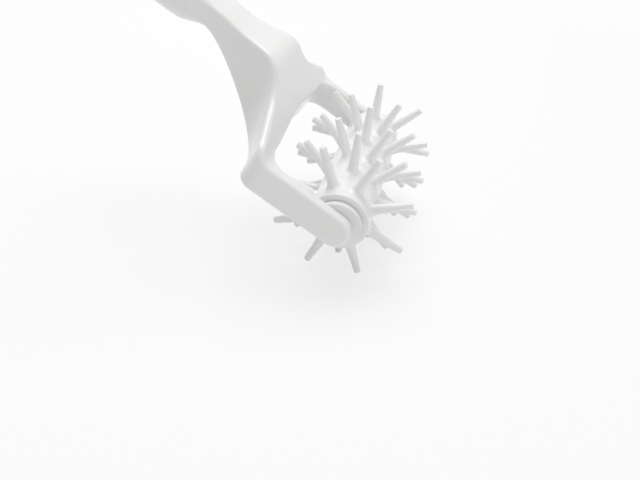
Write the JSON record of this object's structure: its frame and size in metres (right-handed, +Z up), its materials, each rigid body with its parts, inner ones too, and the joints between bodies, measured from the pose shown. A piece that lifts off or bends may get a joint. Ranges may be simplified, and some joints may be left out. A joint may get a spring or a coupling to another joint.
{
  "type": "dough docker",
  "caption": "Hand roller for pricking dough: a drum of blunt plastic spikes turns on an axle between the arms of a one-piece forked handle.",
  "frame": {"origin": "centre of the bounding box, on the worktop that the lowest spikes stand on", "axes": "+X from the handle towards the roller, +Y along the roller's axle, +Z up; the handle rises towards -X at 30 degrees, as held while rolling"},
  "size_m": [0.1704, 0.101, 0.1382],
  "materials": {
    "handle_plastic": "white injection-moulded plastic with a soft gloss",
    "disc_plastic": "white injection-moulded plastic with a soft gloss",
    "axle_plastic": "white acetal, as moulded"
  },
  "bodies": {
    "handle": {"handle_fork": "handle_plastic"},
    "roller": {"spike_disc_1": "disc_plastic", "spike_disc_2": "disc_plastic", "spike_disc_3": "disc_plastic", "spike_disc_4": "disc_plastic", "spike_disc_5": "disc_plastic", "spike_disc_6": "disc_plastic", "axle": "axle_plastic"}
  },
  "joints": [
    {"name": "roller_spin", "type": "hinge", "parent": "handle", "child": "roller", "pos_m": [0.05515, 0, 0.03001], "axis": [0, 1, 0], "continuous": true}
  ]
}
